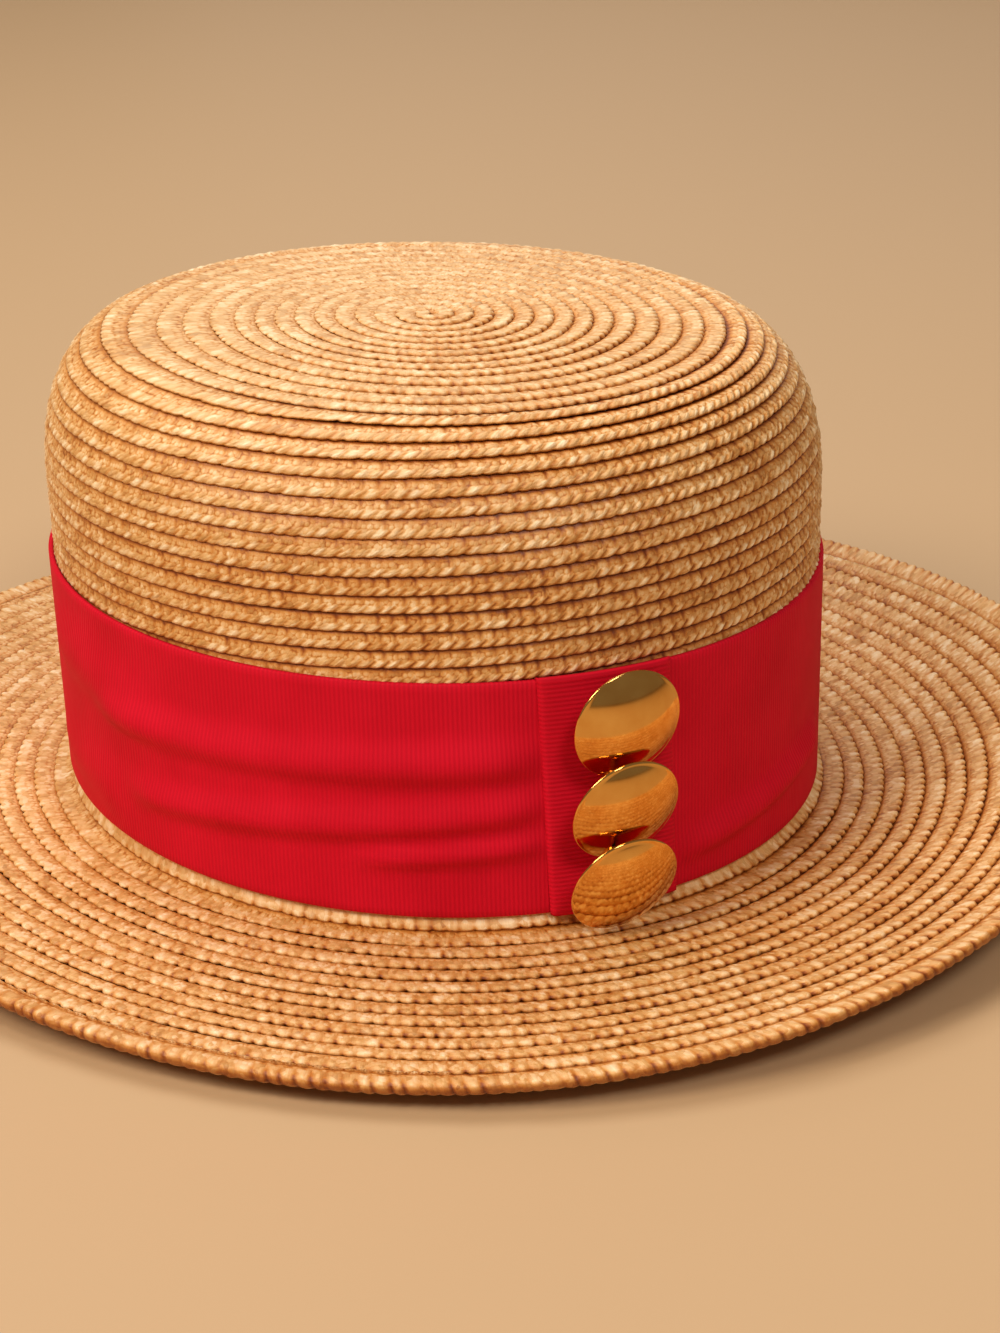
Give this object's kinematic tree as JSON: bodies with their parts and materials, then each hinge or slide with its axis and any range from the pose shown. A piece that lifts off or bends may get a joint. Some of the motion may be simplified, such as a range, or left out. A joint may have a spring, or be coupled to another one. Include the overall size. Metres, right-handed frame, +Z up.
{
  "type": "straw boater hat",
  "caption": "Straw hat with a rounded flat-topped crown, a wide brim rolled up at one side, a ribbon band and domed metal buttons on a ribbon keeper; it is worn on the head.",
  "frame": {"origin": "on the surface the hat lies on, under the middle of the brim's box", "axes": "+Z up through the crown, +X to the wearer's side whose brim is rolled up, -Y the side that shows the buttons"},
  "size_m": [0.3278, 0.3226, 0.1205],
  "materials": {
    "straw": "natural golden plaited straw, lightly varnished",
    "ribbon": "red ribbed grosgrain ribbon",
    "brass": "polished domed buttons"
  },
  "bodies": {
    "root": {"crown": "straw", "brim": "straw", "ribbon_band": "ribbon", "ribbon_keeper": "ribbon", "button_top": "brass", "button_middle": "brass", "button_lower": "brass"}
  },
  "joints": []
}
